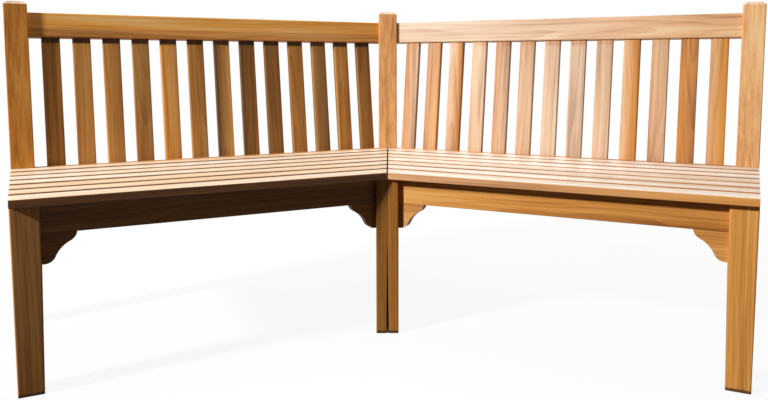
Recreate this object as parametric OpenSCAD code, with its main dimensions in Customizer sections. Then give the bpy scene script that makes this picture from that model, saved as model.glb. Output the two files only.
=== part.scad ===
// Corner bench in oiled hardwood: two mirrored half benches, bolted together at an obtuse corner.
// Millimetres, +Z up. The seat faces -Y and X = 0 is the mirror plane through the corner.
// The origin is on the floor, at the centre of the bench's bounding box.

/* [Overall] */
// Inside angle between the two arms, in degrees
corner_angle = 127; // [118:1:150]
// Length of each arm, along the back of the seat from the corner to the end
arm_len = 1121; // [900:1:1500]
// Height of the seat's top
seat_h = 430; // [340:1:540]
// Height of the outer back posts' tops
back_h = 879; // [740:1:1100]
// How much higher the centre post stands
centre_extra = 6; // [0:1:15]
// Lean of the back, in degrees from plumb
recline = 7; // [4:0.5:12]

/* [Seat] */
// Number of boards in each arm's seat
board_count = 7; // [5:1:8]
// Width of a seat board
board_w = 67; // [50:1:80]
// Thickness of a seat board
board_t = 18; // [15:0.5:24]
// Gap between two seat boards
board_gap = 9; // [5:0.5:12]
// Radius on the boards' long edges
board_r = 2; // [1:0.5:6]
// How far the front board stands out past the front legs
nosing = 21; // [12:1:30]
// Clearance between the rear board and the back rail, and round the posts in its notches
back_clear = 1.5; // [1:0.5:4]
// Gap between the mitred ends of the left and right boards
mitre_gap = 4; // [2:0.5:8]

/* [Legs and posts] */
// Side of the square outer legs and posts
leg_w = 58; // [48:1:70]
// How much narrower the outer front legs are at the foot, on their inner faces
leg_taper = 6; // [0:1:12]
// Width of each half of the centre leg
half_leg_w = 29; // [26:1:36]
// Width of each half of the centre post
half_post_w = 30; // [26:1:36]
// Gap between the two half benches
joint_gap = 0.4; // [0.2:0.1:3]
// How much the half legs' meeting faces are cut back at the foot, in front of a rear web
foot_relief = 2.5; // [0:0.5:4]
// Height up to which the half legs' meeting faces are cut back
relief_h = 250; // [120:1:300]
// Chamfer round the posts' tops
top_chamfer = 9; // [5:0.5:12]
// Radius on the long edges of legs, posts, rails, apron and bearers
arris = 3; // [1.5:0.5:5]

/* [Back] */
// Height of the top rail
rail_h = 67; // [50:1:80]
// Thickness of the top rail and of the seat's back rail
rail_t = 34; // [28:1:40]
// How far the posts stand above the top rail
post_stand = 29; // [20:1:50]
// Height of the seat's back rail
back_rail_h = 82; // [65:1:95]
// How far the back rail's top stands above the seat
back_rail_rise = 3; // [0:0.5:8]
// Number of slats in each arm's back
slat_count = 13; // [9:1:15]
// Width of a slat
slat_w = 47; // [35:1:55]
// Thickness of a slat
slat_t = 17; // [14:0.5:22]
// Radius on the slats' long edges
slat_r = 3; // [1.5:0.5:5]
// Gap between the last slat and the outer post
end_gap = 31; // [15:1:45]
// Gap between the first slat and the centre post
corner_gap = 20; // [10:1:45]

/* [Apron, bearers and brackets] */
// Height of the front apron
apron_h = 66; // [55:1:80]
// Thickness of the front apron and of its brackets
apron_t = 22; // [18:1:28]
// How far the apron lies behind the front of the legs
apron_set = 15; // [10:1:20]
// Height of the bearers under the seat boards
bearer_h = 62; // [50:1:75]
// Thickness of the bearers
bearer_t = 22; // [18:1:24]
// How far the end bearer lies inside the outer face of the legs
bearer_set = 15; // [12:1:18]
// Width of a corner bracket, along the apron
bracket_w = 72; // [55:1:100]
// Height of a corner bracket, down the leg
bracket_h = 66; // [55:1:90]
// Radius of a bracket's nib, under the apron
nib_r = 28; // [22:1:34]
// Radius of a bracket's nose, beside the leg
nose_r = 24; // [18:1:30]
// Radius of the cove between nib and nose
cove_r = 65; // [45:1:120]

/* [Joints and fasteners] */
// Length of the frame tenons in the outer legs and posts
tenon_len = 25; // [18:1:25]
// Thickness of the rail tenons
rail_tenon_t = 12; // [9:1:14]
// Thickness of the apron and bearer tenons
bearer_tenon_t = 10; // [8:1:12]
// Shoulder above and below a frame tenon
shoulder = 9; // [6:1:12]
// Length of the stub tenons on slats
slat_tenon = 12; // [8:1:16]
// Wood left between a tenon and the meeting face of a half leg or half post
half_web = 8; // [6:1:10]
// Clearance round a tenon in its mortise
tenon_fit = 0.2; // [0.1:0.05:0.4]
// Diameter of the frame pegs and of the bracket dowels
peg_d = 8; // [6:0.5:9]
// Diameter of the plugs over the seat screws
plug_d = 10; // [9:0.5:12]
// Diameter of the seat screws' shanks
screw_d = 4; // [3.5:0.5:5]
// Length of the seat screws' shanks
screw_len = 35; // [28:1:38]
// Diameter of the joining bolts
bolt_d = 6; // [5:0.5:8]
// Diameter of the flat heads of joining bolts and sleeve nuts
bolt_head_d = 17; // [14:0.5:19]

/* [Hidden] */
$fn = 48;
over = 1;                 // how far a cutting shape runs past what it cuts
reach = 2500;             // longer than any member of the bench
arc_steps = 4;            // steps in the rounding of a post's arris
nib_turn = 11;            // from the nib's level radius to the apron's underside, in degrees
nose_flat = 5;            // level stretch of the nose, beside the leg
turned_fit = 0.1;         // clearance round pegs, dowels, plugs, screws and bolts
slat_shoulder = 5;        // from a slat's edge to the edge of its tenon
slat_tenon_t = 10;        // thickness of a slat's tenon
stub_len = 8;             // length of the middle bearer's stub tenons
corner_tenon_len = 18;    // length of the corner bearer's tenons
peg_cover = 12;           // wood left in front of a blind peg
peg_spread = 12;          // height between two pegs that cross in one leg
dowel_half = 12;          // length of a bracket dowel on each side of its joint
plug_h = 5.5;             // height of a plug
screw_head_d = 8;         // diameter of a seat screw's head
screw_head_h = 3;         // height of a seat screw's head
plug_air = 0.5;           // air between a plug and the screw head under it
bolt_head_h = 2;          // thickness of a joining bolt's head
bolt_sink = 2.5;          // depth of the recess that takes it
sleeve_wall = 1.5;        // wall of a sleeve nut
hex_d = 5;                // width across corners of the key sockets in the heads
post_bolts = [120, 57];   // lower one above the seat, upper one below the top rail, along the lean
leg_bolt_z = 240;         // height of the bolt through the centre leg
relief_web = 12;          // depth of the rear web, where the half legs' meeting faces aren't cut back
bearer_bolt_in = 45;      // from each end of the corner bearers to a bolt through them

// Layout: an arm has its own frame, with x along the arm from the corner, y backwards and z up,
// and y = 0 on the front faces of the back posts at seat height
arm_turn = (180 - corner_angle) / 2;
rail_y = (leg_w - rail_t) / 2;
slat_y = (leg_w - slat_t) / 2;
seat_behind = rail_y / cos(recline) - board_t * tan(recline) - back_clear;
seat_d = board_count * board_w + (board_count - 1) * board_gap - seat_behind;
board_z = seat_h - board_t;
leg_front = nosing - seat_d;
apron_front = leg_front + apron_set;
apron_z = board_z - apron_h;
bearer_z = board_z - bearer_h;
taper_top = apron_z - bracket_h;

// Centre leg and centre post: square to the mirror plane, and in line with the arms' outer ones
leg_x = joint_gap / 2 + half_leg_w;
post_x = joint_gap / 2 + half_post_w;
half_d = leg_w / cos(arm_turn);
centre_recline = atan(tan(recline) / cos(arm_turn));
centre_post_front = -post_x * tan(arm_turn);
centre_leg_front = leg_front / cos(arm_turn) - leg_x * tan(arm_turn);
tenon_stop = joint_gap / 2 + half_web;
bearer_face = joint_gap / 2 + bearer_t;

// Members of the back start here, beyond where its rear top edge meets the mirror plane
arm_start = -ceil((leg_w + (back_h - seat_h) * tan(recline)) * tan(arm_turn));

// Back, measured along its lean from seat height
post_rise = (back_h - seat_h + top_chamfer * sin(recline)) / cos(recline);
centre_rise = (back_h + centre_extra - seat_h + top_chamfer * sin(centre_recline)) / cos(centre_recline);
top_rail_z = post_rise - post_stand - rail_h;
back_rail_z = back_rail_rise - back_rail_h;
slat_from = (post_x - leg_w / 2 * sin(arm_turn)) / cos(arm_turn) + corner_gap + slat_w / 2;
slat_to = arm_len - leg_w - end_gap - slat_w / 2;
slat_pitch = (slat_to - slat_from) / (slat_count - 1);

// Bearers and screws
end_bearer_x = arm_len - bearer_set - bearer_t;
middle_bearer_x = (arm_len + seat_d * tan(arm_turn) / 2 - bearer_t) / 2;
screw_x_corner = joint_gap / 2 + bearer_t / 2;
screw_seat_z = seat_h - plug_h - plug_air - screw_head_h;
peg_z = board_z - bearer_h / 2;

// The corner's place on Y puts the middle of the bench's bounding box over the origin
front_reach = arm_len * sin(arm_turn) + seat_d * cos(arm_turn);
back_reach = centre_post_front + half_d * cos(centre_recline)
    + (centre_rise - top_chamfer) * sin(centre_recline);
corner_y = (front_reach - back_reach) / 2;

sides = ["left", "right"];
frame_names = ["back_post", "half_back_post", "front_leg", "half_front_leg", "top_rail",
    "seat_back_rail", "front_apron", "end_bearer", "middle_bearer", "corner_bearer",
    "end_bracket", "corner_bracket", "back_slats", "frame_pegs", "bracket_dowels",
    "seat_screws", "seat_plugs"];

wood = "#c4853f";
pale_wood = "#e9c99b";
plug_wood = "#b0723a";
metal = "#8f8a80";

function board_y(i) = -seat_d + (i - 1) * (board_w + board_gap);
function slat_x(i) = slat_from + (i - 1) * slat_pitch;
function corner_line_x(x, y) = (x - y * sin(arm_turn)) / cos(arm_turn);

// Places
module hand(side) {
    if (side == "left") mirror([1, 0, 0]) children();
    else children();
}

// From an arm's frame to the bench's
module in_arm() translate([0, corner_y, 0]) rotate([0, 0, -arm_turn]) children();

// From the corner's frame, square to the mirror plane, to the arm's
module square_to_corner() rotate([0, 0, arm_turn]) children();

// From the leaning frame of the arm's back to the arm's
module in_back() translate([0, 0, seat_h]) rotate([-recline, 0, 0]) children();

// From the leaning frame of the centre post to the corner's
module in_centre_post()
    translate([joint_gap / 2, centre_post_front, seat_h]) rotate([-centre_recline, 0, 0]) children();

// All that lies nearer to the mirror plane than x, in the arm's frame
module inside_of(x) square_to_corner()
    translate([x - reach, -reach, -reach]) cube([reach, 2 * reach, 2 * reach]);

// A section drawn as depth by height, carried along the arm
module along_arm(from, to) translate([from, 0, 0]) rotate([90, 0, 90]) linear_extrude(to - from) children();

// A section drawn as length by height, carried backwards
module backwards(depth) translate([0, depth, 0]) rotate([90, 0, 0]) linear_extrude(depth) children();

// A rectangle with rounded corners
module eased(w, h, r) {
    translate([r, 0]) square([w - 2 * r, h]);
    translate([0, r]) square([w, h - 2 * r]);
    for (x = [r, w - r], y = [r, h - r]) translate([x, y]) circle(r);
}

// A rectangle with rounded corners on the side away from the mirror plane only
module half_eased(w, h, r) {
    square([w - r, h]);
    translate([0, r]) square([w, h - 2 * r]);
    for (y = [r, h - r]) translate([w - r, y]) circle(r);
}

// Posts
// A quarter turn about centre from the angle given, or the centre alone where r is 0
function quarter(centre, r, from) = [for (k = [0:(r > 0 ? arc_steps : 0)])
    centre + r * [cos(from + 90 * k / arc_steps), sin(from + 90 * k / arc_steps)]];

// Section of a post, anticlockwise, with its own radius on the side nearer to the mirror plane
function post_section(w, d, r, near_r) = concat(
    quarter([near_r, near_r], near_r, 180), quarter([w - r, r], r, 270),
    quarter([w - r, d - r], r, 0), quarter([near_r, d - near_r], near_r, 90));

// A section at the distance up along the lean above the crank
function leaning(section, up, lean) = [for (p = section)
    [p[0], p[1] * cos(lean) + up * sin(lean), seat_h + up * cos(lean) - p[1] * sin(lean)]];

// A solid through a stack of like sections
module loft(sections) {
    n = len(sections[0]);
    points = [for (section = sections, p = section) p];
    faces = concat([[for (i = [0:n - 1]) i]], [[for (i = [n - 1:-1:0]) len(points) - n + i]],
        [for (s = [0:len(sections) - 2], i = [0:n - 1])
            [s * n + i, (s + 1) * n + i, (s + 1) * n + (i + 1) % n, s * n + (i + 1) % n]]);
    polyhedron(points, faces);
}

// A post, plumb to seat height and leaning above it, with its top chamfered
module cranked_post(w, d, lean, rise, near_r, near_chamfer) {
    section = post_section(w, d, arris, near_r);
    inner = post_section(w - near_chamfer - top_chamfer, d - 2 * top_chamfer, arris / 3, near_r / 3);
    loft([[for (p = section) [p[0], p[1], 0]],
        [for (p = section) [p[0], p[1], seat_h - p[1] * tan(lean / 2)]],
        leaning(section, rise - top_chamfer, lean),
        leaning([for (p = inner) p + [near_chamfer, top_chamfer]], rise, lean)]);
}

// Tenons, grown all round when they cut their mortises
module rail_tenons(z, h, grow = 0) {
    difference() {
        in_back() translate([arm_start, (leg_w - rail_tenon_t) / 2 - grow, z + shoulder - grow])
            cube([arm_len - leg_w + tenon_len + grow - arm_start, rail_tenon_t + 2 * grow,
                h - 2 * shoulder + 2 * grow]);
        inside_of(tenon_stop - grow);
    }
}

module apron_tenons(grow = 0) {
    difference() {
        translate([0, apron_front + (apron_t - bearer_tenon_t) / 2 - grow, apron_z + shoulder - grow])
            cube([arm_len - leg_w + tenon_len + grow, bearer_tenon_t + 2 * grow,
                apron_h - 2 * shoulder + 2 * grow]);
        inside_of(tenon_stop - grow);
    }
}

// A bearer's tenons, run through as one bar from y0 to y1
module bearer_tenons(x, y0, y1, grow = 0) {
    translate([x + (bearer_t - bearer_tenon_t) / 2 - grow, y0 - grow, bearer_z + shoulder - grow])
        cube([bearer_tenon_t + 2 * grow, y1 - y0 + 2 * grow, bearer_h - 2 * shoulder + 2 * grow]);
}

module end_tenons(grow = 0)
    bearer_tenons(end_bearer_x, leg_front + leg_w - tenon_len + over, tenon_len - over, grow);

module corner_tenons(grow = 0)
    square_to_corner() bearer_tenons(joint_gap / 2, centre_leg_front + half_d - corner_tenon_len,
        centre_post_front + corner_tenon_len, grow);

module middle_tenons(grow = 0) {
    difference() {
        bearer_tenons(middle_bearer_x, apron_front + apron_t - stub_len, leg_w, grow);
        in_back() translate([0, rail_y + stub_len + grow, -reach / 2]) cube([arm_len, reach, reach]);
    }
}

module slat_tenons(i, grow = 0) {
    in_back() translate([slat_x(i) - slat_w / 2 + slat_shoulder - grow, (leg_w - slat_tenon_t) / 2 - grow,
        back_rail_rise - slat_tenon - grow])
        cube([slat_w - 2 * slat_shoulder + 2 * grow, slat_tenon_t + 2 * grow,
            top_rail_z - back_rail_rise + 2 * slat_tenon + 2 * grow]);
}

// Pegs, driven from the back of a leg or post
module peg(from, to, grow = 0)
    translate([0, from - grow, 0]) rotate([-90, 0, 0]) cylinder(h = to - from + grow, d = peg_d + 2 * grow);

module post_pegs(grow = 0) {
    in_back() translate([arm_len - leg_w + tenon_len / 2, 0, top_rail_z + rail_h / 2])
        peg(peg_cover, leg_w, grow);
    translate([arm_len - leg_w + tenon_len / 2, 0, peg_z]) peg(peg_cover, leg_w, grow);
    square_to_corner() in_centre_post() translate([(half_web + half_post_w) / 2, 0, top_rail_z + rail_h / 2])
        peg(peg_cover, half_d, grow);
    square_to_corner() translate([(tenon_stop + post_x) / 2, centre_post_front, peg_z])
        peg(corner_tenon_len + over + peg_d / 2, half_d, grow);
}

module leg_pegs(grow = 0) {
    translate([arm_len - leg_w + tenon_len / 2, leg_front, peg_z - peg_spread]) peg(peg_cover, leg_w, grow);
    square_to_corner() translate([leg_x - peg_d, centre_leg_front, peg_z - peg_spread])
        peg(peg_cover, half_d, grow);
}

// Pegs through the end bearer's tenons, driven from the outer faces of leg and post
module end_pegs(grow = 0) {
    for (y = [leg_front + leg_w - tenon_len / 2, tenon_len / 2])
        translate([arm_len, y, peg_z + peg_spread]) rotate([0, 0, 90])
            peg(0, bearer_set + bearer_t, grow);
}

// Dowels, one up into the apron and one sideways into the leg for each bracket
module end_bracket_dowels(grow = 0) {
    translate([arm_len - leg_w - bracket_w / 2, apron_front + apron_t / 2, apron_z - dowel_half - grow])
        cylinder(h = 2 * (dowel_half + grow), d = peg_d + 2 * grow);
    translate([arm_len - leg_w - dowel_half - grow, apron_front + apron_t / 2, apron_z - bracket_h / 2])
        rotate([0, 90, 0]) cylinder(h = 2 * (dowel_half + grow), d = peg_d + 2 * grow);
}

module corner_bracket_dowels(grow = 0) {
    mid_y = apron_front + apron_t / 2;
    translate([corner_line_x(leg_x, mid_y) + bracket_w / 2, mid_y, apron_z - dowel_half - grow])
        cylinder(h = 2 * (dowel_half + grow), d = peg_d + 2 * grow);
    translate([corner_line_x(leg_x, mid_y), mid_y, apron_z - bracket_h / 2])
        square_to_corner() translate([-dowel_half - grow, 0, 0])
            rotate([0, 90, 0]) cylinder(h = 2 * (dowel_half + grow), d = peg_d + 2 * grow);
}

// Seat screws: one where each board crosses each of its three bearers, and where the front board
// crosses the legs and the apron
module at_screws(i) {
    mid_y = board_y(i) + board_w / 2;
    apron_y = apron_front + apron_t / 2;
    translate([corner_line_x(screw_x_corner, mid_y), mid_y, 0]) children();
    translate([middle_bearer_x + bearer_t / 2, i == 1 ? apron_y : mid_y, 0]) children();
    translate([end_bearer_x + bearer_t / 2, mid_y, 0]) children();
}

module screw_pilot() translate([0, 0, screw_seat_z - screw_len - over])
    cylinder(h = screw_len + over, d = screw_d + 2 * turned_fit);

module screw_bore() {
    screw_pilot();
    translate([0, 0, screw_seat_z]) cylinder(h = board_t, d = plug_d + 2 * turned_fit);
}

module all_pilots() for (i = [1:board_count]) at_screws(i) screw_pilot();

// Joining bolts lie along X, centred on the mirror plane, in the corner's frame
module at_post_bolts() {
    for (z = [post_bolts[0], top_rail_z - post_bolts[1]])
        translate([0, centre_post_front, seat_h]) rotate([-centre_recline, 0, 0])
            translate([0, half_d / 2, z]) children();
}

module at_leg_bolt() translate([0, centre_leg_front + half_d / 2, leg_bolt_z]) children();

module at_bearer_bolts() {
    for (y = [centre_leg_front + half_d + bearer_bolt_in, centre_post_front - bearer_bolt_in])
        translate([0, y, bearer_z + bearer_h / 3]) children();
}

module rod(from, to, d) translate([from, 0, 0]) rotate([0, 90, 0]) cylinder(h = to - from, d = d);

module bolt_bore(face) {
    rod(-face - over, face + over, bolt_d + 2 * sleeve_wall + 4 * turned_fit);
    for (side = [-1, 1]) rod(side * face - bolt_sink, side * face + bolt_sink, bolt_head_d + 2 * turned_fit);
}

module key_socket(x) translate([x, 0, 0]) rotate([0, 90, 0]) cylinder(h = bolt_head_h, d = hex_d, $fn = 6);

module joining_bolt(face) {
    seat = face - bolt_sink;
    difference() {
        union() {
            rod(seat, seat + bolt_head_h, bolt_head_d);
            rod(-seat / 2, seat, bolt_d);
        }
        key_socket(seat + bolt_head_h / 4);
    }
}

module joining_sleeve(face) {
    seat = face - bolt_sink;
    difference() {
        union() {
            rod(-seat - bolt_head_h, -seat, bolt_head_d);
            rod(-seat, seat / 3, bolt_d + 2 * sleeve_wall);
        }
        rod(-seat / 2 - over, seat / 3 + over, bolt_d + 2 * turned_fit);
        key_socket(-seat - bolt_head_h - bolt_head_h / 4);
    }
}

// Frame pieces, each in its arm's frame
module back_post() color(wood) difference() {
    translate([arm_len - leg_w, 0, 0])
        cranked_post(leg_w, leg_w, recline, post_rise, arris, top_chamfer);
    rail_tenons(top_rail_z, rail_h, tenon_fit);
    rail_tenons(back_rail_z, back_rail_h, tenon_fit);
    end_tenons(tenon_fit);
    post_pegs(turned_fit);
    end_pegs(turned_fit);
}

module half_back_post() color(wood) difference() {
    square_to_corner() translate([joint_gap / 2, centre_post_front, 0])
        cranked_post(half_post_w, half_d, centre_recline, centre_rise, 0, 0);
    rail_tenons(top_rail_z, rail_h, tenon_fit);
    rail_tenons(back_rail_z, back_rail_h, tenon_fit);
    corner_tenons(tenon_fit);
    post_pegs(turned_fit);
    square_to_corner() at_post_bolts() bolt_bore(post_x);
}

// An outer front leg, narrower from the bracket's lower end to the foot
module tapered_leg() {
    foot = post_section(leg_w - leg_taper, leg_w, arris, arris);
    full = post_section(leg_w, leg_w, arris, arris);
    loft([[for (p = foot) [p[0] + leg_taper, p[1], 0]],
        [for (p = full) [p[0], p[1], taper_top]],
        [for (p = full) [p[0], p[1], board_z]]]);
}

module front_leg() color(wood) difference() {
    translate([arm_len - leg_w, leg_front, 0]) tapered_leg();
    apron_tenons(tenon_fit);
    end_tenons(tenon_fit);
    leg_pegs(turned_fit);
    end_pegs(turned_fit);
    end_bracket_dowels(turned_fit);
    all_pilots();
}

module half_front_leg() color(wood) difference() {
    square_to_corner() translate([joint_gap / 2, centre_leg_front, 0]) difference() {
        linear_extrude(board_z) half_eased(half_leg_w, half_d, arris);
        translate([0, -over, 0]) backwards(half_d - relief_web + over)
            polygon([[-over, -over], [foot_relief, -over], [0, relief_h], [-over, relief_h]]);
    }
    apron_tenons(tenon_fit);
    corner_tenons(tenon_fit);
    leg_pegs(turned_fit);
    corner_bracket_dowels(turned_fit);
    all_pilots();
    square_to_corner() at_leg_bolt() bolt_bore(leg_x);
}

// A rail with its tenons, from the centre post to the outer one, mortised for the slats
module rail(z, h) {
    difference() {
        union() {
            difference() {
                in_back() along_arm(arm_start, arm_len - leg_w)
                    translate([rail_y, z]) eased(rail_t, h, arris);
                inside_of(post_x);
            }
            rail_tenons(z, h);
        }
        for (i = [1:slat_count]) slat_tenons(i, tenon_fit);
        post_pegs(turned_fit);
    }
}

module top_rail() color(wood) rail(top_rail_z, rail_h);

module seat_back_rail() color(wood) difference() {
    rail(back_rail_z, back_rail_h);
    middle_tenons(tenon_fit);
}

module front_apron() color(wood) difference() {
    union() {
        difference() {
            along_arm(0, arm_len - leg_w)
                translate([apron_front, apron_z]) eased(apron_t, apron_h, arris / 2);
            inside_of(leg_x);
        }
        apron_tenons();
    }
    middle_tenons(tenon_fit);
    leg_pegs(turned_fit);
    end_bracket_dowels(turned_fit);
    corner_bracket_dowels(turned_fit);
    all_pilots();
}

module bearer_bar(x, y0, y1) translate([x, y0, bearer_z])
    backwards(y1 - y0) eased(bearer_t, bearer_h, arris / 2);

module end_bearer() color(wood) difference() {
    union() {
        bearer_bar(end_bearer_x, leg_front + leg_w, 0);
        end_tenons();
    }
    end_pegs(turned_fit);
    all_pilots();
}

module middle_bearer() color(wood) difference() {
    union() {
        difference() {
            bearer_bar(middle_bearer_x, apron_front + apron_t, leg_w);
            in_back() translate([0, rail_y, -reach / 2]) cube([arm_len, reach, reach]);
        }
        middle_tenons();
    }
    all_pilots();
}

module corner_bearer() color(wood) difference() {
    union() {
        square_to_corner() bearer_bar(joint_gap / 2, centre_leg_front + half_d, centre_post_front);
        corner_tenons();
    }
    all_pilots();
    square_to_corner() at_bearer_bolts() bolt_bore(bearer_face);
}

// Outline of a bracket, drawn as distance from the leg by distance below the apron: a round nib
// under the apron's edge, a cove that touches nib and nose, and a round nose beside the leg
module bracket_outline() {
    nib = [bracket_w - nib_r * cos(nib_turn), -nib_r * sin(nib_turn)];
    nose = [nose_flat, bracket_h - nose_r];
    base = norm(nose - nib);
    to_nose = (nose - nib) / base;
    along = (base * base + pow(nib_r + cove_r, 2) - pow(nose_r + cove_r, 2)) / (2 * base);
    out = sqrt(pow(nib_r + cove_r, 2) - along * along);
    cove = nib + along * to_nose + out * [to_nose[1], -to_nose[0]];
    nib_end = nib + (cove - nib) * nib_r / (nib_r + cove_r);
    nose_start = nose + (cove - nose) * nose_r / (nose_r + cove_r);
    intersection() {
        square([bracket_w, bracket_h]);
        difference() {
            union() {
                polygon([[0, 0], [bracket_w, 0], nib_end, nose_start, [nose_flat, bracket_h],
                    [0, bracket_h]]);
                translate(nib) circle(nib_r, $fn = 96);
                translate(nose) circle(nose_r, $fn = 96);
            }
            translate(cove) circle(cove_r, $fn = 240);
        }
    }
}

module end_bracket() color(wood) difference() {
    translate([arm_len - leg_w, apron_front, apron_z]) backwards(apron_t) rotate(180) bracket_outline();
    end_bracket_dowels(turned_fit);
}

module corner_bracket() color(wood) difference() {
    translate([corner_line_x(leg_x, apron_front), apron_front, apron_z]) backwards(apron_t)
        mirror([0, 1, 0]) union() {
            bracket_outline();
            translate([-apron_t, 0]) square([apron_t + over, bracket_h]);
        }
    inside_of(leg_x);
    corner_bracket_dowels(turned_fit);
}

module back_slats() color(wood) for (i = [1:slat_count]) {
    in_back() translate([slat_x(i) - slat_w / 2, slat_y, back_rail_rise])
        linear_extrude(top_rail_z - back_rail_rise) eased(slat_w, slat_t, slat_r);
    slat_tenons(i);
}

// A seat board, mitred at the corner, and notched round the posts where it reaches them
module seat_board(i) color(pale_wood) difference() {
    along_arm(0, arm_len) translate([board_y(i), board_z]) eased(board_w, board_t, board_r);
    inside_of(mitre_gap / 2);
    square_to_corner() translate([0, centre_post_front - back_clear, 0])
        cube([post_x + back_clear, reach, reach]);
    translate([arm_len - leg_w - back_clear, -back_clear, 0]) cube([leg_w + 2 * back_clear, reach, reach]);
    at_screws(i) screw_bore();
}

// Fasteners
module frame_pegs() color(plug_wood) {
    post_pegs();
    leg_pegs();
    end_pegs();
}

module bracket_dowels() color(plug_wood) {
    end_bracket_dowels();
    corner_bracket_dowels();
}

module seat_screws() color(metal) for (i = [1:board_count]) at_screws(i) translate([0, 0, screw_seat_z]) {
    translate([0, 0, -screw_len]) cylinder(h = screw_len, d = screw_d);
    cylinder(h = screw_head_h, d = screw_head_d);
}

module seat_plugs() color(plug_wood) for (i = [1:board_count]) at_screws(i)
    translate([0, 0, seat_h - plug_h]) cylinder(h = plug_h, d = plug_d);

module at_corner() translate([0, corner_y, 0]) children();

module joining_bolts() color(metal) at_corner() {
    at_post_bolts() joining_bolt(post_x);
    at_leg_bolt() joining_bolt(leg_x);
    at_bearer_bolts() joining_bolt(bearer_face);
}

module joining_sleeves() color(metal) at_corner() {
    at_post_bolts() joining_sleeve(post_x);
    at_leg_bolt() joining_sleeve(leg_x);
    at_bearer_bolts() joining_sleeve(bearer_face);
}

for (side = sides) {
    hand(side) in_arm() back_post();
    hand(side) in_arm() half_back_post();
    hand(side) in_arm() front_leg();
    hand(side) in_arm() half_front_leg();
    hand(side) in_arm() top_rail();
    hand(side) in_arm() seat_back_rail();
    hand(side) in_arm() front_apron();
    hand(side) in_arm() end_bearer();
    hand(side) in_arm() middle_bearer();
    hand(side) in_arm() corner_bearer();
    hand(side) in_arm() end_bracket();
    hand(side) in_arm() corner_bracket();
    hand(side) in_arm() back_slats();
    hand(side) in_arm() frame_pegs();
    hand(side) in_arm() bracket_dowels();
    hand(side) in_arm() seat_screws();
    hand(side) in_arm() seat_plugs();
    for (i = [1:board_count])
        hand(side) in_arm() seat_board(i);
}
joining_bolts();
joining_sleeves();
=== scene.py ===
import math
import random

import bmesh
import bpy
from mathutils import Euler, Matrix, Vector


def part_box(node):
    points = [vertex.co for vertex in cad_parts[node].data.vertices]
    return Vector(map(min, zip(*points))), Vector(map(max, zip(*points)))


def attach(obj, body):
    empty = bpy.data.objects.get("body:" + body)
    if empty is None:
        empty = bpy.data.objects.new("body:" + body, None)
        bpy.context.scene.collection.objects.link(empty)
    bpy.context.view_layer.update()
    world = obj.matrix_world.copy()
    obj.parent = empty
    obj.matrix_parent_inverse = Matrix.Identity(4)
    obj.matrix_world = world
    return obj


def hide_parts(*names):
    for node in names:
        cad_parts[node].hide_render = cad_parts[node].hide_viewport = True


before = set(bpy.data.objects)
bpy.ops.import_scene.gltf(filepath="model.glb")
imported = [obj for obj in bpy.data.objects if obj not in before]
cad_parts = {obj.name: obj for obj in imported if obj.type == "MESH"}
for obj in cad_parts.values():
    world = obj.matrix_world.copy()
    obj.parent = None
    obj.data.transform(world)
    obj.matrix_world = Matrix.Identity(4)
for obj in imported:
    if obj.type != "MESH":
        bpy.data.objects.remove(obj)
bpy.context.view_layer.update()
print("frame loaded:", len(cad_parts), "nodes")

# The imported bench's own sizes, in millimetres and degrees. An arm has x along it from the corner, y backwards
# from the posts' front faces and z up; above the seat its back leans
bench = {
    "cornerAngle": 127, "cornerY": 425.11, "armLength": 1121, "seatHeight": 430, "backHeight": 879, "recline": 7,
    "postWidth": 58, "halfPost": 30, "jointGap": 0.4, "topChamfer": 9, "postStand": 29,
    "railHeight": 67, "backRailRise": 3, "cornerGap": 20, "endGap": 31,
}
sides = ("left", "right")
armTurn = math.radians(180 - bench["cornerAngle"]) / 2
recline = math.radians(bench["recline"])


def handOf(side):  # x is negative on the left arm
    return -1 if side == "left" else 1


def armFrame(side):  # from an arm's axes to the bench's
    turn = Matrix.Rotation(-armTurn * handOf(side), 4, "Z")
    return Matrix.Translation((0, bench["cornerY"] / 1000, 0)) @ turn


def backFrame(side):  # from the leaning back's axes to the bench's
    lean = Matrix.Rotation(-recline, 4, "X")
    return armFrame(side) @ Matrix.Translation((0, 0, bench["seatHeight"] / 1000)) @ lean


# Camera: where the photograph was taken from, found by fitting the bench's edges
photo = {
    "width": 768, "height": 400, "focal": 733.0, "centre": (399.05, 137.0),  # pixels
    "place": (0.007, -2.023, 0.702), "pitch": 5.476, "yaw": 0.718,           # metres and degrees
}
bpy.ops.object.camera_add(location=photo["place"],
                          rotation=(math.radians(90 - photo["pitch"]), 0, -math.radians(photo["yaw"])))
camera = bpy.context.object
camera.data.sensor_width = 36
camera.data.lens = photo["focal"] / photo["width"] * 36
camera.data.shift_x = (photo["width"] / 2 - photo["centre"][0]) / photo["width"]
camera.data.shift_y = (photo["centre"][1] - photo["height"] / 2) / photo["width"]
camera.data.clip_start = 0.05
bpy.context.scene.camera = camera
print("camera placed")


def linear(hexColour):  # sRGB hex to the linear colour that a socket takes
    channels = [int(hexColour[i:i + 2], 16) / 255 for i in (1, 3, 5)]
    return [c / 12.92 if c <= 0.04045 else ((c + 0.055) / 1.055) ** 2.4 for c in channels] + [1.0]


def addNode(tree, kind, inputs=None, **settings):  # a node with its settings, values and links
    node = tree.nodes.new("ShaderNode" + kind)
    for name, value in settings.items():
        setattr(node, name, value)
    for key, value in (inputs or {}).items():
        if isinstance(value, bpy.types.Node):
            value = value.outputs[0]
        if isinstance(value, bpy.types.NodeSocket):
            tree.links.new(value, node.inputs[key])
        else:
            node.inputs[key].default_value = value
    return node


def newMaterial(name):
    material = bpy.data.materials.new(name)
    material.use_nodes = True
    material.node_tree.nodes.clear()
    return material, material.node_tree


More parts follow.
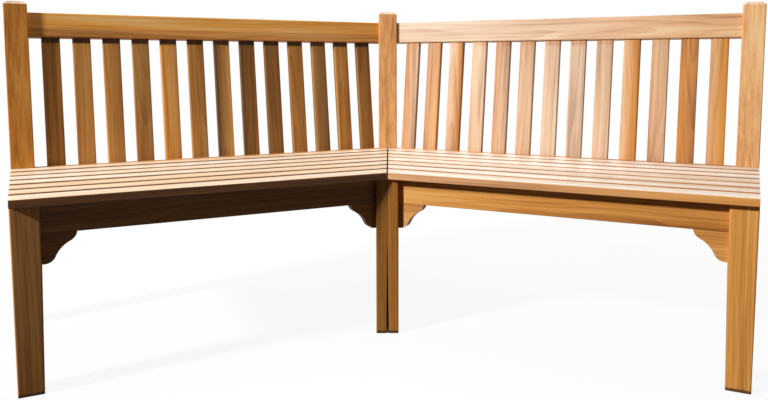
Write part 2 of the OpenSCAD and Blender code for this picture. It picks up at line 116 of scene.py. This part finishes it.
# Teak, planed and sanded, with a thin coat of oil. Rings that run out of the sawn face draw arches and long
# stripes, pores draw short dark dashes, and the oil gives a satin sheen. Tone 0 is pale sun-bleached wood
# and 1 is dark heartwood; tones above 1 are darker than any teak and paint shade; fade 0 is freshly oiled
# and 1 would be grey
teak = {
    "ringSpacing": 0.006,           # growth rings, 6 mm
    "wander": (0.45, 0.08, 0.012),  # length and width of a ring's waves, and how far it strays
    "ringEdge": 2.0,                # above 1 a ring darkens late and ends in a sharp line
    "ringShare": -0.16,
    "marks": {                      # length, width, detail and share in the figure
        "streaks": (0.42, 0.010, 3, 0.8),
        "pores": (0.09, 0.0016, 2, 0.24),  # 0.3 mm wide in the real wood and drawn coarser, so that they show
        "stretches": (0.75, 0.06, 1, 0.85),
    },
    "markRoughness": 0.6,
    "stops": (0.2, 0.5, 0.78),      # where in the figure ring line, body and pale streak stand
    "figureRange": (0.25, 0.75),    # where it takes the two roughnesses
    "roughness": (0.6, 0.42),       # dark ring lines are drier than the pale wood
    "relief": 0.0002,               # how deep rings and pores stand, and how much of it shows
    "reliefShare": 0.4,
    "ior": 1.5,                     # wood under oil
    "tones": (                      # tone, then the colours of ring line, body and pale streak
        (0.0, "#e6c7a0", "#f8e6cf", "#fef4e5"),
        (0.2, "#c9935c", "#e9bf8e", "#f3d8b0"),
        (0.4, "#b0743a", "#dd9c55", "#e8b878"),
        (0.65, "#864f20", "#bc7934", "#d3964c"),
        (1.0, "#4a2a12", "#7e4e21", "#a06b30"),
        # near black, darker than any teak: painted shade
        (1.4, "#160c06", "#2a190c", "#3c2714"),
    ),
    "endGrain": "#5c3a1c",          # drinks the oil and goes dark
    "endFacing": (0.8, 1.0, 0.6),   # how squarely a face cuts the grain where it starts and is full, and its share
    "footDarkening": ("#20120a", 0.005, 0.009, 0.85),  # darker up to these heights, and its share
    "sheen": {"half_front_leg": 0.15, "front_apron": 0.15, "end_bracket": 0.15, "corner_bracket": 0.15,
              "seat_board": 0.3},   # where the oil has dried out or been renewed
    "usualSheen": 0.2,
}


def toneColours(tone, fade):  # ring line, body and pale streak
    tones = teak["tones"]
    low, high = next(pair for pair in zip(tones, tones[1:]) if tone <= pair[1][0])
    part = (tone - low[0]) / (high[0] - low[0])
    colours = []
    for dark, pale in zip(high[1:], low[1:]):
        colour = [a + (b - a) * part for a, b in zip(linear(pale)[:3], linear(dark)[:3])]
        grey = 0.21 * colour[0] + 0.72 * colour[1] + 0.07 * colour[2]
        colours.append([channel + (grey - channel) * fade for channel in colour] + [1.0])
    return colours


def teakMaterial(name, tones, turn=None, place=None, mix=None, foot=False, sheen=teak["usualSheen"]):
    material, tree = newMaterial(f"oiledTeak_{name}")
    coords = addNode(tree, "TexCoord")
    if turn:  # grain along x, with the heart of the log along the axis
        grain = addNode(tree, "Mapping", {"Vector": coords.outputs["Object"], "Rotation": turn, "Location": place})
    else:
        grain = addNode(tree, "Attribute", attribute_name="grain").outputs["Vector"]
    length, width, stray = teak["wander"]
    waves = addNode(tree, "Mapping", {"Vector": grain, "Scale": (1 / length, 1 / width, 1 / width)})
    waves = addNode(tree, "TexNoise", {"Vector": waves, "Scale": 1.0, "Detail": 1.5}).outputs[1]
    strayed = addNode(tree, "VectorMath", {0: waves, 1: (0, 2 * stray, 2 * stray), 2: grain},
                      operation="MULTIPLY_ADD")
    rings = addNode(tree, "TexWave", {"Vector": strayed, "Scale": math.pi / 10 / teak["ringSpacing"]},
                    wave_type="RINGS", rings_direction="X", wave_profile="SAW").outputs[1]
    rings = addNode(tree, "Math", {0: rings, 1: teak["ringEdge"]}, operation="POWER")
    figure = 0.5 - teak["ringShare"] / 3 - sum(mark[3] for mark in teak["marks"].values()) / 2
    figure = addNode(tree, "Math", {0: rings, 1: teak["ringShare"], 2: figure}, operation="MULTIPLY_ADD")
    marks = {}
    for mark, (length, width, detail, share) in teak["marks"].items():
        stretched = addNode(tree, "Mapping", {"Vector": grain, "Scale": (1 / length, 1 / width, 1 / width)})
        marks[mark] = addNode(tree, "TexNoise", {"Vector": stretched, "Scale": 1.0, "Detail": detail,
                                                 "Roughness": teak["markRoughness"]})
        figure = addNode(tree, "Math", {0: marks[mark], 1: share, 2: figure}, operation="MULTIPLY_ADD")
    surfaces = []
    for tone, fade in tones:
        ramp = addNode(tree, "ValToRGB", {0: figure})
        ramp.color_ramp.elements.new(0.5)
        for element, stop, colour in zip(ramp.color_ramp.elements, teak["stops"], toneColours(tone, fade)):
            element.position = stop
            element.color = colour
        surfaces.append(ramp)
    surface = surfaces[0]
    if mix:
        surface = addNode(tree, "Mix", {0: mix(tree, coords), 6: surfaces[0], 7: surfaces[1]},
                          data_type="RGBA").outputs[2]
    if turn:
        facing = addNode(tree, "VectorMath", {0: coords.outputs["Normal"], 1: turn.to_matrix().row[0]},
                         operation="DOT_PRODUCT").outputs[1]
        facing = addNode(tree, "Math", {0: facing}, operation="ABSOLUTE")
        start, full, share = teak["endFacing"]
        facing = addNode(tree, "MapRange", {0: facing, 1: start, 2: full, 3: 0.0, 4: share})
        surface = addNode(tree, "Mix", {0: facing, 6: surface, 7: linear(teak["endGrain"])},
                          data_type="RGBA").outputs[2]
    # the legs and posts darker near the floor
    if foot:
        footColour, low, high, share = teak["footDarkening"]
        nearFloor = addNode(tree, "SeparateXYZ", {0: coords.outputs["Object"]}).outputs[2]
        nearFloor = addNode(tree, "MapRange", {0: nearFloor, 1: low, 2: high, 3: share, 4: 0.0})
        surface = addNode(tree, "Mix", {0: nearFloor, 6: surface, 7: linear(footColour)}, data_type="RGBA").outputs[2]
    dark, pale = teak["figureRange"]
    dry, oiled = teak["roughness"]
    roughness = addNode(tree, "MapRange", {0: figure, 1: dark, 2: pale, 3: dry, 4: oiled})
    height = addNode(tree, "Math", {0: rings, 1: -0.5, 2: marks["pores"]}, operation="MULTIPLY_ADD")
    relief = addNode(tree, "Bump", {"Height": height, "Strength": teak["reliefShare"], "Distance": teak["relief"]})
    shader = addNode(tree, "BsdfPrincipled", {"Base Color": surface, "Roughness": roughness, "Normal": relief,
                                              "IOR": teak["ior"], "Specular IOR Level": sheen})
    addNode(tree, "OutputMaterial", {"Surface": shader})
    return material


# Slats: a bar with eased edges and a stub tenon on each end, modelled once and copied 26 times
slat = {
    "count": 13, "width": 47, "thickness": 17, "edgeRadius": 3, "edgeSteps": 4,
    "tenonLength": 12, "tenonThickness": 10, "tenonShoulder": 5, "nodes": "back_slats",
    "pith": ((0, 9), (-0.05, 0.05), (0.03, 0.09)),  # where in the log a slat's middle lies, in metres
    "tilt": 0.03,                                   # how far its grain may run askew, in radians
    # tone and fade of an arm's palest and darkest slats; the left arm's run darker, partly the wood's own tone and
    # partly painted shade
    "toneRange": {"left": ((0.37, -0.1), (1.3, 0.0)), "right": ((0.29, 0.42), (0.67, -0.08))},
    "railShadow": {"left": 1.0, "right": 0.5},            # painted shadow of the rail, under it
    "railShadowDown": (0.019, 0.013),                     # how far down it fades out and is full, in metres
    "railShadowFacing": (-0.5, -0.2),                     # on the faces that look forward
    # from the corner outwards: how dark each slat is within its arm's range, or its left and right edges are; the
    # first right slat's dark left edge is the centre post's painted shadow
    "tones": {"left": (0.6, 0.36, (0.58, 0.8), 0.46, (0.78, 0.62), (0.9, 0.5), (0.98, 0.08), 0.44, (0.0, 0.18),
                       0.53, (0.3, 0.45), (0.42, 0.24), 0.38),
              "right": ((0.8, 0.22), (0.52, 0.8), (0.2, 0.92), (0.35, 0.15), (0.6, 0.15), (0.38, 0.28),
                        (0.2, 0.08), 0.0, (0.3, 0.2), (0.55, 0.98), (0.52, 0.36), (0.95, 0.8), (0.64, 1.0))},
}
railFoot = (bench["backHeight"] - bench["seatHeight"] + bench["topChamfer"] * math.sin(recline)) / math.cos(recline)
railFoot -= bench["postStand"] + bench["railHeight"]   # underside of the top rail, along the lean
slatLength = railFoot - bench["backRailRise"]
halfSection = bench["postWidth"] / 2
firstSlat = ((bench["jointGap"] / 2 + bench["halfPost"] - halfSection * math.sin(armTurn)) / math.cos(armTurn)
             + bench["cornerGap"] + slat["width"] / 2)
lastSlat = bench["armLength"] - bench["postWidth"] - bench["endGap"] - slat["width"] / 2


def modelSlat():
    width, thickness, length = slat["width"] / 1000, slat["thickness"] / 1000, slatLength / 1000
    inset = (slat["thickness"] - slat["tenonThickness"]) / 2000
    bpy.ops.object.select_all(action="DESELECT")
    bpy.ops.mesh.primitive_cube_add(size=1, location=(0, 0, 0), scale=(width, thickness, length))
    bar = bpy.context.object
    bpy.ops.object.transform_apply(location=False, rotation=False, scale=True)
    bpy.ops.object.mode_set(mode="EDIT")
    for end in (-1, 1):  # a shoulder, then the tenon
        bpy.ops.mesh.select_mode(type="FACE")
        bpy.ops.mesh.select_all(action="DESELECT")
        shape = bmesh.from_edit_mesh(bar.data)
        for face in shape.faces:
            face.select_set(face.normal.z * end > 0.9 and abs(face.calc_center_median().z) > length * 0.4)
        bmesh.update_edit_mesh(bar.data)
        bpy.ops.mesh.inset(thickness=inset)
        bpy.ops.transform.resize(value=((width - 2 * slat["tenonShoulder"] / 1000) / (width - 2 * inset), 1, 1))
        bpy.ops.mesh.extrude_region_move(TRANSFORM_OT_translate={"value": (0, 0, end * slat["tenonLength"] / 1000)})
    bpy.ops.mesh.select_mode(type="EDGE")
    bpy.ops.mesh.select_all(action="DESELECT")
    shape = bmesh.from_edit_mesh(bar.data)
    for edge in shape.edges:  # the four long edges
        edge.select_set(abs(edge.verts[0].co.z - edge.verts[1].co.z) > length * 0.9)
    bmesh.update_edit_mesh(bar.data)
    bpy.ops.mesh.bevel(offset=slat["edgeRadius"] / 1000, segments=slat["edgeSteps"], affect="EDGES")
    bpy.ops.object.mode_set(mode="OBJECT")
    bpy.ops.object.shade_smooth_by_angle(angle=math.radians(35))
    return bar


def giveGrain(piece, tone, seed):  # each slat is cut from its own part of the log
    spread = random.Random(seed)
    pith = Vector([spread.uniform(*limits) for limits in slat["pith"]])
    tilt = Euler((0, spread.uniform(-slat["tilt"], slat["tilt"]), spread.uniform(-slat["tilt"], slat["tilt"])))
    tilt = tilt.to_matrix()
    points = [tilt @ Vector((v.co.z, v.co.x, v.co.y)) + pith for v in piece.data.vertices]
    grain = piece.data.attributes.new("grain", "FLOAT_VECTOR", "POINT")
    grain.data.foreach_set("vector", [value for point in points for value in point])
    edges = tone if isinstance(tone, tuple) else (tone, tone)
    shade = piece.data.attributes.new("tone", "FLOAT", "POINT")
    shade.data.foreach_set("value", [edges[v.co.x > 0] for v in piece.data.vertices])
    below = piece.data.attributes.new("belowRail", "FLOAT", "POINT")
    below.data.foreach_set("value", [slatLength / 2000 - v.co.z for v in piece.data.vertices])


def slatTone(tree, coords):  # the slat's own tone, and the rail's shadow painted on its front under the rail
    tone = addNode(tree, "Attribute", attribute_name="tone").outputs["Fac"]
    below = addNode(tree, "Attribute", attribute_name="belowRail").outputs["Fac"]
    # the rail's shadow, painted darker on the fronts just under the rail
    gone, full = slat["railShadowDown"]
    railShadow = addNode(tree, "MapRange", {0: below, 1: full, 2: gone, 3: slat["railShadow"][side], 4: 0.0})
    front = addNode(tree, "SeparateXYZ", {0: coords.outputs["Normal"]}).outputs[1]
    full, gone = slat["railShadowFacing"]
    front = addNode(tree, "MapRange", {0: front, 1: full, 2: gone, 3: 1.0, 4: 0.0})
    railShadow = addNode(tree, "Math", {0: railShadow, 1: front}, operation="MULTIPLY")
    return addNode(tree, "Math", {0: tone, 1: railShadow}, operation="MAXIMUM")


firstBar = modelSlat()
for side in sides:
    # a material for each arm: the left one darker, partly painted shade
    slatWood = teakMaterial(f"slats_{side}", slat["toneRange"][side], mix=slatTone)
    for number in range(slat["count"]):
        along = firstSlat + (lastSlat - firstSlat) * number / (slat["count"] - 1)
        place = Matrix.Translation((handOf(side) * along / 1000, bench["postWidth"] / 2000,
                                    (bench["backRailRise"] + slatLength / 2) / 1000))
        piece = firstBar.copy()
        piece.data = firstBar.data.copy()
        piece.name = f"slat_{side}_{number + 1}"
        bpy.context.collection.objects.link(piece)
        giveGrain(piece, slat["tones"][side][number], f"{side}{number}")
        piece.data.transform(backFrame(side) @ place)
        piece.data.materials.append(slatWood)
        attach(piece, "root")
        if number == 0:
            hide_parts(f"{slat['nodes']}_{side}")
bpy.data.objects.remove(firstBar)
print("slats:", 2 * slat["count"])

# The half legs and half posts at the corner are drawn up tight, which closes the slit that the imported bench
# keeps between its halves. Each is worked over from its CAD shape, with a small arris along the seam
tight = {
    "nodes": ("half_front_leg", "half_back_post"),
    "arris": 0.0006,                     # metres
    "forward": -0.7, "sideways": 0.9,    # how squarely the two faces at the seam's front edge look ahead and aside
}
tightHalves = {}


def closeSeam(node, side):
    piece = bpy.data.objects.new(f"tight_{node}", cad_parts[node].data.copy())
    bpy.context.collection.objects.link(piece)
    bpy.ops.object.select_all(action="DESELECT")
    piece.select_set(True)
    bpy.context.view_layer.objects.active = piece
    bpy.ops.object.mode_set(mode="EDIT")
    bpy.ops.mesh.select_mode(type="VERT")
    bpy.ops.mesh.select_all(action="SELECT")
    bpy.ops.mesh.remove_doubles(threshold=0.00001)
    bpy.ops.mesh.select_all(action="DESELECT")
    shape = bmesh.from_edit_mesh(piece.data)
    gap = bench["jointGap"] / 2000
    for vert in shape.verts:  # the seam's face
        vert.select_set(abs(vert.co.x) < gap * 1.1)
    bmesh.update_edit_mesh(piece.data)
    bpy.ops.transform.translate(value=(-handOf(side) * gap, 0, 0))
    bpy.ops.mesh.select_mode(type="EDGE")
    bpy.ops.mesh.select_all(action="DESELECT")
    shape = bmesh.from_edit_mesh(piece.data)
    shape.normal_update()
    for edge in shape.edges:  # between the front and the seam's face
        ways = [face.normal for face in edge.link_faces]
        atSeam = all(abs(vert.co.x) < gap / 2 for vert in edge.verts)
        edge.select_set(atSeam and min(way.y for way in ways) < tight["forward"]
                        and max(abs(way.x) for way in ways) > tight["sideways"])
    bmesh.update_edit_mesh(piece.data)
    bpy.ops.mesh.bevel(offset=tight["arris"], segments=1, affect="EDGES")
    bpy.ops.object.mode_set(mode="OBJECT")
    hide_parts(node)
    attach(piece, "root")
    return piece


for side in sides:
    for kind in tight["nodes"]:
        tightHalves[f"{kind}_{side}"] = closeSeam(f"{kind}_{side}", side)
print("corner drawn up:", len(tightHalves), "pieces")

# The other woodwork keeps its CAD shape. For each piece: which way its grain runs, its tone and fade on
# the left and on the right, and how far from it the heart of the log lies, in metres. The left tones are
# darker, partly the wood's own tone and partly painted shade on the arm that the key light grazes
woodwork = {
    "back_post": ("up", (0.65, -0.04), (0.38, 0.1), (0.035, 0.05)),
    "half_back_post": ("up", (0.46, 0.1), (0.46, 0.1), (0.04, 0.05)),
    "front_leg": ("up", (0.6, 0.08), (0.4, -0.06), (0.055, 0.014)),
    "half_front_leg": ("up", (0.9, 0), (0.68, 0), (0.05, 0.04)),
    "top_rail": ("arm", (0.3, -0.3), (0.28, 0.42), (0.06, 0.01)),
    "seat_back_rail": ("arm", (0.65, 0), (0.6, 0), (0.05, 0.03)),
    "front_apron": ("arm", (0.9, 0.16), (0.68, 0), (0.07, 0.02)),
    "end_bearer": ("depth", (0.7, 0), (0.6, 0), (0.05, 0.03)),
    "middle_bearer": ("depth", (0.65, 0), (0.6, 0), (0.05, 0.02)),
    "corner_bearer": ("back", (0.7, 0), (0.6, 0), (0.04, 0.03)),
    "end_bracket": ("arm", (0.94, 0.12), (0.52, 0), (0.05, 0.05)),
    "corner_bracket": ("arm", (0.9, 0), (0.46, 0), (0.04, 0.06)),
    "seat_board": ("arm", (1.13, 0), (0.61, -0.15), (0.01, 0.05)),  # the tones are those of the front edge, the left one darkened with painted shade
    "seat_plugs": ("arm", (0.1, 0), (0.05, 0.25), (0.01, 0.05)),
    "frame_pegs": ("depth", (0.75, 0), (0.7, 0), (0.01, 0.04)),
    "bracket_dowels": ("up", (0.6, 0), (0.6, 0), (0.01, 0.04)),
}
feet = ("back_post", "half_back_post", "front_leg", "half_front_leg")
strayGrain = 0.012  # how far a piece's grain may run askew, in radians

# Where a piece has a second tone: that tone and fade, and the places in metres at which it starts and is full. A
# facing is how far a face looks up, from 0 to 1
secondTone = {
    "legSeam": {"tone": (1.3, 0), "foot": 0.0034, "above": 0.0008, "height": 0.25, "blur": 0.0002},  # painted shade in the seam between the two halves
    "leftLeg": {"tone": (0.86, 0), "height": (0.0, 0.3)},                     # darker towards the foot
    "postTop": {"tone": (0.25, 0.35), "facing": (0.4, 0.6)},                  # paler and greyer on the top
    "leftRail": {"tone": (0.5, 0), "height": (0.814, 0.817), "wander": 0.012, "waves": (3, 3, 8)},  # heartwood
    "rightRail": {"tone": (0.38, 0.22)},                                      # at its outer end; the rail is paler towards the corner, painted light
    "rightApron": {"tone": (0.5, -0.05)},                                     # at the corner, paler: painted light
    "outwards": (0.25, 0.95),                                                 # both change over between these
}
seat = {
    "boards": 7, "boardWidth": 67, "gap": 9,
    "behind": 8.38,                           # how far it reaches past the posts' fronts
    "topFacing": (0.9, 0.99),                 # how far up a face looks that counts as a board's top
    "bleachedAndLit": {"left": (0.05, 0), "right": (0.0, 0.25)}, "bleachedAndLitMore": 0.1,  # the boards' tops, paler: partly sun-bleached and partly painted light from above
    "shadedBetween": {"left": (1.1, 0), "right": (0.8, 0)},                              # painted shade on the faces between two boards
    "paintedShade": (0.009, 0.004),                  # where the painted shade along a board's edge starts and is full, from the edge, in metres
    "paleNose": (0.2, 1.0, 0.2, 0.0),         # the right front edge is paler towards the corner, painted light: places and shares
}


def boardMiddle(board):  # across the arm, in metres
    fromRear = seat["boards"] - board
    return (seat["behind"] - seat["boardWidth"] / 2 - fromRear * (seat["boardWidth"] + seat["gap"])) / 1000


def grainTurn(grain, side):  # turns the grain's direction onto x
    turn = armTurn * handOf(side)
    if grain == "up":
        return Euler((0, math.pi / 2, 0))
    return Euler((0, 0, {"arm": turn, "depth": turn - math.pi / 2, "back": -math.pi / 2}[grain]))


def finishNode(node, kind, side, board=0):
    grain, leftToneAndShade, rightTone, heart = woodwork[kind]
    tones = [leftToneAndShade if side == "left" else rightTone]
    spread = random.Random(node)
    turn = grainTurn(grain, side)
    turn.y += spread.uniform(-strayGrain, strayGrain)
    turn.z += spread.uniform(-strayGrain, strayGrain)
    low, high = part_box(node)
    middle = turn.to_matrix() @ ((Vector(low) + Vector(high)) / 2)
    place = Vector((spread.uniform(0, 9), heart[0] * spread.choice((-1, 1)), heart[1])) - middle

    def paleTopOffGaps(tree, coords):  # 1 on a board's top, which is paler: partly bleached and partly painted light; 0 on its other faces and along its edges by the gaps, where shade is painted
        start, full = seat["topFacing"]
        up = addNode(tree, "SeparateXYZ", {0: coords.outputs["Normal"]}).outputs[2]
        up = addNode(tree, "MapRange", {0: up, 1: start, 2: full})
        square = grainTurn("arm", side)
        centre = armFrame(side) @ Vector((0, boardMiddle(board), 0))
        across = addNode(tree, "Mapping", {"Vector": coords.outputs["Object"], "Rotation": square,
                                           "Location": -(square.to_matrix() @ centre)})
        across = addNode(tree, "SeparateXYZ", {0: across}).outputs[1]
        if board > 1:  # the front board has a gap behind it only
            across = addNode(tree, "Math", {0: across}, operation="ABSOLUTE")
        # a band along each edge by a gap takes the painted shade
        start, full = [seat["boardWidth"] / 2000 - inwards for inwards in seat["paintedShade"]]
        across = addNode(tree, "MapRange", {0: across, 1: start, 2: full, 3: 1.0, 4: 0.0})
        paleTop = addNode(tree, "Math", {0: up, 1: across}, operation="MULTIPLY")
        if board == 1 and side == "right":
            start, full, most, least = seat["paleNose"]
            pale = addNode(tree, "SeparateXYZ", {0: coords.outputs["Object"]}).outputs[0]
            pale = addNode(tree, "MapRange", {0: pale, 1: start, 2: full, 3: most, 4: least})
            paleTop = addNode(tree, "Math", {0: paleTop, 1: pale}, operation="MAXIMUM")
        return paleTop

    def besideSeam(tree, coords):  # 0 next to the centre leg's seam, where shade is painted, 1 elsewhere
        paintedShade = secondTone["legSeam"]
        place = addNode(tree, "SeparateXYZ", {0: coords.outputs["Object"]})
        width = addNode(tree, "MapRange", {0: place.outputs[2], 1: 0.0, 2: paintedShade["height"], 3: paintedShade["foot"],
                                           4: paintedShade["above"]})
        away = addNode(tree, "Math", {0: place.outputs[0]}, operation="ABSOLUTE")
        away = addNode(tree, "Math", {0: away, 1: width}, operation="SUBTRACT")
        return addNode(tree, "MapRange", {0: away, 1: -paintedShade["blur"], 2: paintedShade["blur"]})

    def chamferedTop(tree, coords):  # 1 on a post's top and its chamfer
        start, full = secondTone["postTop"]["facing"]
        up = addNode(tree, "SeparateXYZ", {0: coords.outputs["Normal"]}).outputs[2]
        return addNode(tree, "MapRange", {0: up, 1: start, 2: full})

    def upTheLeg(tree, coords):  # 0 on the floor, 1 at the height where the darkening ends
        start, full = secondTone["leftLeg"]["height"]
        tall = addNode(tree, "SeparateXYZ", {0: coords.outputs["Object"]}).outputs[2]
        return addNode(tree, "MapRange", {0: tall, 1: start, 2: full})

    def lowerEdge(tree, coords):  # 1 above the heartwood that runs along the left rail's lower edge
        heartwood = secondTone["leftRail"]
        start, full = heartwood["height"]
        tall = addNode(tree, "SeparateXYZ", {0: coords.outputs["Object"]}).outputs[2]
        wander = addNode(tree, "Mapping", {"Vector": coords.outputs["Object"], "Scale": heartwood["waves"]})
        wander = addNode(tree, "TexNoise", {"Vector": wander, "Scale": 1.0, "Detail": 2.0})
        tall = addNode(tree, "Math", {0: wander, 1: heartwood["wander"], 2: tall}, operation="MULTIPLY_ADD")
        return addNode(tree, "MapRange", {0: tall, 1: start, 2: full})

    def towardsEnd(tree, coords):  # 0 at the corner end of the right arm, 1 at its outer end
        start, full = secondTone["outwards"]
        across = addNode(tree, "SeparateXYZ", {0: coords.outputs["Object"]}).outputs[0]
        return addNode(tree, "MapRange", {0: across, 1: start, 2: full})

    mix = None
    if kind == "half_front_leg":
        tones, mix = [secondTone["legSeam"]["tone"], tones[0]], besideSeam
    elif kind in ("back_post", "half_back_post"):
        tones, mix = [tones[0], secondTone["postTop"]["tone"]], chamferedTop
    elif kind == "front_apron" and side == "right":
        tones, mix = [secondTone["rightApron"]["tone"], tones[0]], towardsEnd
    elif kind == "front_leg" and side == "left":
        tones, mix = [secondTone["leftLeg"]["tone"], tones[0]], upTheLeg
    elif kind == "top_rail" and side == "left":
        tones, mix = [secondTone["leftRail"]["tone"], tones[0]], lowerEdge
    elif kind == "top_rail":
        tones, mix = [tones[0], secondTone["rightRail"]["tone"]], towardsEnd
    if board:  # paler on top, partly sun-bleached and partly painted light, and painted shade between the boards
        between = tones[0] if board == 1 else seat["shadedBetween"][side]
        tone, fade = seat["bleachedAndLit"][side]
        tones = [between, (tone + spread.uniform(0, seat["bleachedAndLitMore"]), fade)]
        mix = paleTopOffGaps
    material = teakMaterial(node, tones, turn, place, mix=mix, foot=kind in feet,
                            sheen=teak["sheen"].get(kind, teak["usualSheen"]))
    piece = tightHalves.get(node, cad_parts[node])
    piece.data.materials.clear()
    piece.data.materials.append(material)


for side in sides:
    for kind in woodwork:
        if kind != "seat_board":
            finishNode(f"{kind}_{side}", kind, side)
    boards = sorted(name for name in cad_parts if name.startswith("seat_board") and name.endswith(side))
    for number, name in enumerate(boards, 1):
        finishNode(name, "seat_board", side, number)
print("woodwork finished:", len(bpy.data.materials), "materials")

# Stainless steel, turned and brushed round: fine rings in the roughness give the heads a soft streaked glint
steel = {
    "colour": "#b9b6b0", "roughness": (0.25, 0.4),
    "brushing": (0.025, 0.0004),           # length and width of a scratch, 0.05 mm in the real steel, drawn coarser
    "relief": 0.00005, "reliefShare": 0.2,
    "nodes": ("seat_screws_left", "seat_screws_right", "joining_bolts", "joining_sleeves"),
}
stainless, steelTree = newMaterial("brushedStainlessSteel")
length, width = steel["brushing"]
brushed = addNode(steelTree, "Mapping", {"Vector": addNode(steelTree, "TexCoord").outputs["Object"],
                                         "Scale": (1 / length, 1 / width, 1 / width)})
brushed = addNode(steelTree, "TexNoise", {"Vector": brushed, "Scale": 1.0, "Detail": 2.0})
shine = addNode(steelTree, "MapRange", {0: brushed, 3: steel["roughness"][0], 4: steel["roughness"][1]})
scratches = addNode(steelTree, "Bump", {"Height": brushed, "Strength": steel["reliefShare"],
                                        "Distance": steel["relief"]})
metal = addNode(steelTree, "BsdfPrincipled", {"Base Color": linear(steel["colour"]), "Metallic": 1.0,
                                              "Roughness": shine, "Normal": scratches})
addNode(steelTree, "OutputMaterial", {"Surface": metal})
for name in steel["nodes"]:
    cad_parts[name].data.materials.clear()
    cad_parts[name].data.materials.append(stainless)
print("steel finished:", len(steel["nodes"]), "nodes")

# Studio: matt floor paint, rolled on, without gloss or texture. It fades into the white background and keeps a
# faint shadow of the bench
studio = {
    "floorSize": 60, "floorColour": "#fbfbfb",
    "bounce": "#4a4643",                # what the wood sees of the floor
    "shadowShare": 0.08, "shadowReach": (1.2, 2.8),  # how much of the shadow shows, and where it starts to fade
    "narrow": (0.05, 0.2, 0.5),         # reach and openness of the gap between two feet, which is dark
    "fill": 0.03, "aim": (0, 0.15, 0.45),
    "key": {"from": (-5.3, -3.5, 3.75), "size": 0.6, "energy": 640},
    "top": {"from": (0, 0.5, 3.1), "size": 1.6, "energy": 34},
    "back": {"from": (0.7, 3.3, 2.0), "size": 1.8, "energy": 40},
}


def seenDirectly(tree):  # 1 for camera, mirror and glass rays, 0 for light that bounces
    rays = addNode(tree, "LightPath")
    seen = rays.outputs["Is Camera Ray"]
    for ray in ("Is Glossy Ray", "Is Transmission Ray"):
        seen = addNode(tree, "Math", {0: seen, 1: rays.outputs[ray]}, operation="ADD", use_clamp=True)
    return seen


bpy.ops.object.select_all(action="DESELECT")
bpy.ops.mesh.primitive_plane_add(size=studio["floorSize"], location=(0, 0, 0))
floor = bpy.context.object
floor.name = "floor"
floorMaterial, floorTree = newMaterial("mattFloorPaint")
seen = seenDirectly(floorTree)
paint = addNode(floorTree, "Mix", {0: seen, 6: linear(studio["bounce"]), 7: linear(studio["floorColour"])},
                data_type="RGBA").outputs[2]
matt = addNode(floorTree, "BsdfDiffuse", {"Color": paint})
white = addNode(floorTree, "Emission", {"Color": (1, 1, 1, 1), "Strength": 1.0})
away = addNode(floorTree, "VectorMath", {0: addNode(floorTree, "TexCoord").outputs["Object"]}, operation="LENGTH")
near, far = studio["shadowReach"]
share = addNode(floorTree, "MapRange", {0: away.outputs[1], 1: near, 2: far, 3: 1 - studio["shadowShare"], 4: 1.0})
share = addNode(floorTree, "Math", {0: share, 1: seen}, operation="MULTIPLY")
reach, closed, clear = studio["narrow"]
narrow = addNode(floorTree, "AmbientOcclusion", {"Distance": reach}, samples=8)
narrow = addNode(floorTree, "MapRange", {0: narrow.outputs["AO"], 1: closed, 2: clear})
share = addNode(floorTree, "Math", {0: share, 1: narrow}, operation="MULTIPLY")
mixed = addNode(floorTree, "MixShader", {0: share, 1: matt, 2: white})
addNode(floorTree, "OutputMaterial", {"Surface": mixed})
floor.data.materials.append(floorMaterial)

world = bpy.data.worlds.new("whiteStudio")
bpy.context.scene.world = world
world.use_nodes = True
world.node_tree.nodes.clear()
strength = addNode(world.node_tree, "MapRange", {0: seenDirectly(world.node_tree), 3: studio["fill"], 4: 1.0})
sky = addNode(world.node_tree, "Background", {"Color": (1, 1, 1, 1), "Strength": strength})
addNode(world.node_tree, "OutputWorld", {"Surface": sky})

aim = Vector(studio["aim"])
for name in ("key", "top", "back"):
    light = studio[name]
    bpy.ops.object.light_add(type="AREA", location=light["from"])
    lamp = bpy.context.object
    lamp.name = f"{name}Light"
    lamp.rotation_euler = (aim - Vector(light["from"])).to_track_quat("-Z", "Y").to_euler()
    lamp.data.size = light["size"]
    lamp.data.energy = light["energy"]
bpy.context.scene.view_settings.view_transform = "Standard"
print("studio lit")
